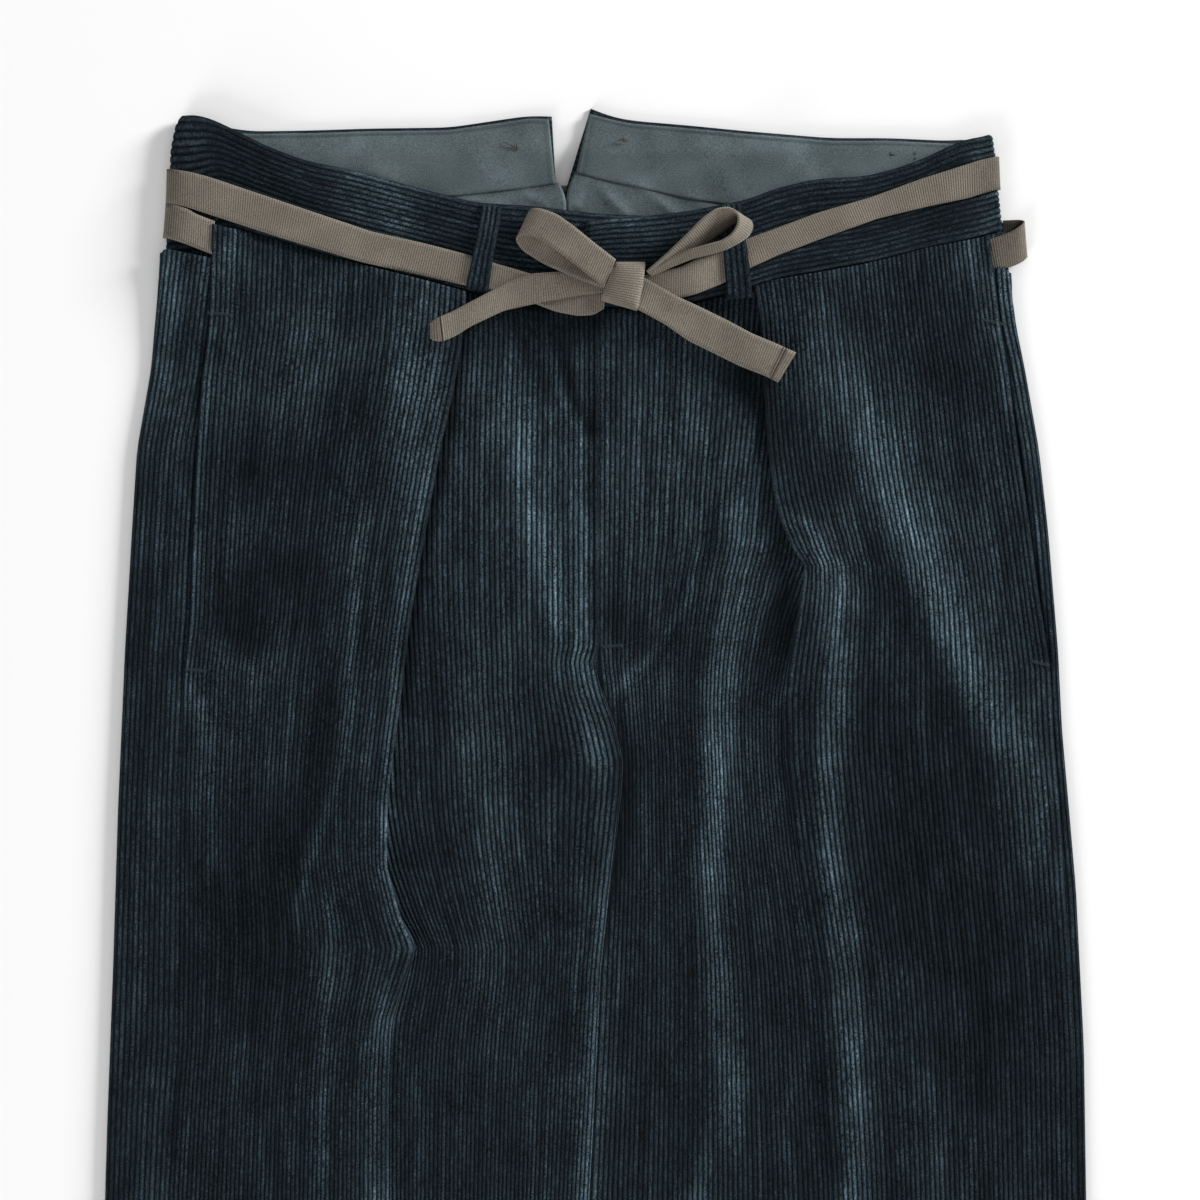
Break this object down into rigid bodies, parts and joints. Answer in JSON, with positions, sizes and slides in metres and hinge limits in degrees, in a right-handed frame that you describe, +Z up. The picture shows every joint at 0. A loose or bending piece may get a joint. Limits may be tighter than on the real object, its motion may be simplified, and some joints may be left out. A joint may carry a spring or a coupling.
{
  "type": "corduroy trousers laid flat",
  "caption": "Wide-wale corduroy trousers laid flat on their back, with a deep pleat in each front, a fishtail waistband and a ribbed tape tied in a bow at the waist.",
  "frame": {"origin": "centre of the laid garment's box, on the surface it lies on", "axes": "+Z up from the surface, +Y from the hems to the waist, +X towards the wearer's left leg"},
  "size_m": [0.4925, 1.03, 0.0216],
  "materials": {
    "corduroy": "matte",
    "lining": "matte",
    "tape": "matte"
  },
  "bodies": {
    "root": {"back_panel_right": "corduroy", "back_panel_left": "corduroy", "front_panel_right": "corduroy", "front_panel_left": "corduroy", "waistband_right": "corduroy", "waistband_left": "corduroy", "belt_loop_right": "corduroy", "belt_loop_left": "corduroy", "waistband_facing_right": "lining", "waistband_facing_left": "lining", "back_lining_right": "lining", "back_lining_left": "lining", "tape_run_right": "tape", "tape_stub_right": "tape", "tape_run_left": "tape", "tape_loop_left": "tape", "tape_back_lower": "tape", "tape_back_upper": "tape", "bow_loop_right": "tape", "bow_loop_left": "tape", "bow_tail_right": "tape", "bow_tail_left": "tape", "bow_knot": "tape"}
  },
  "joints": []
}
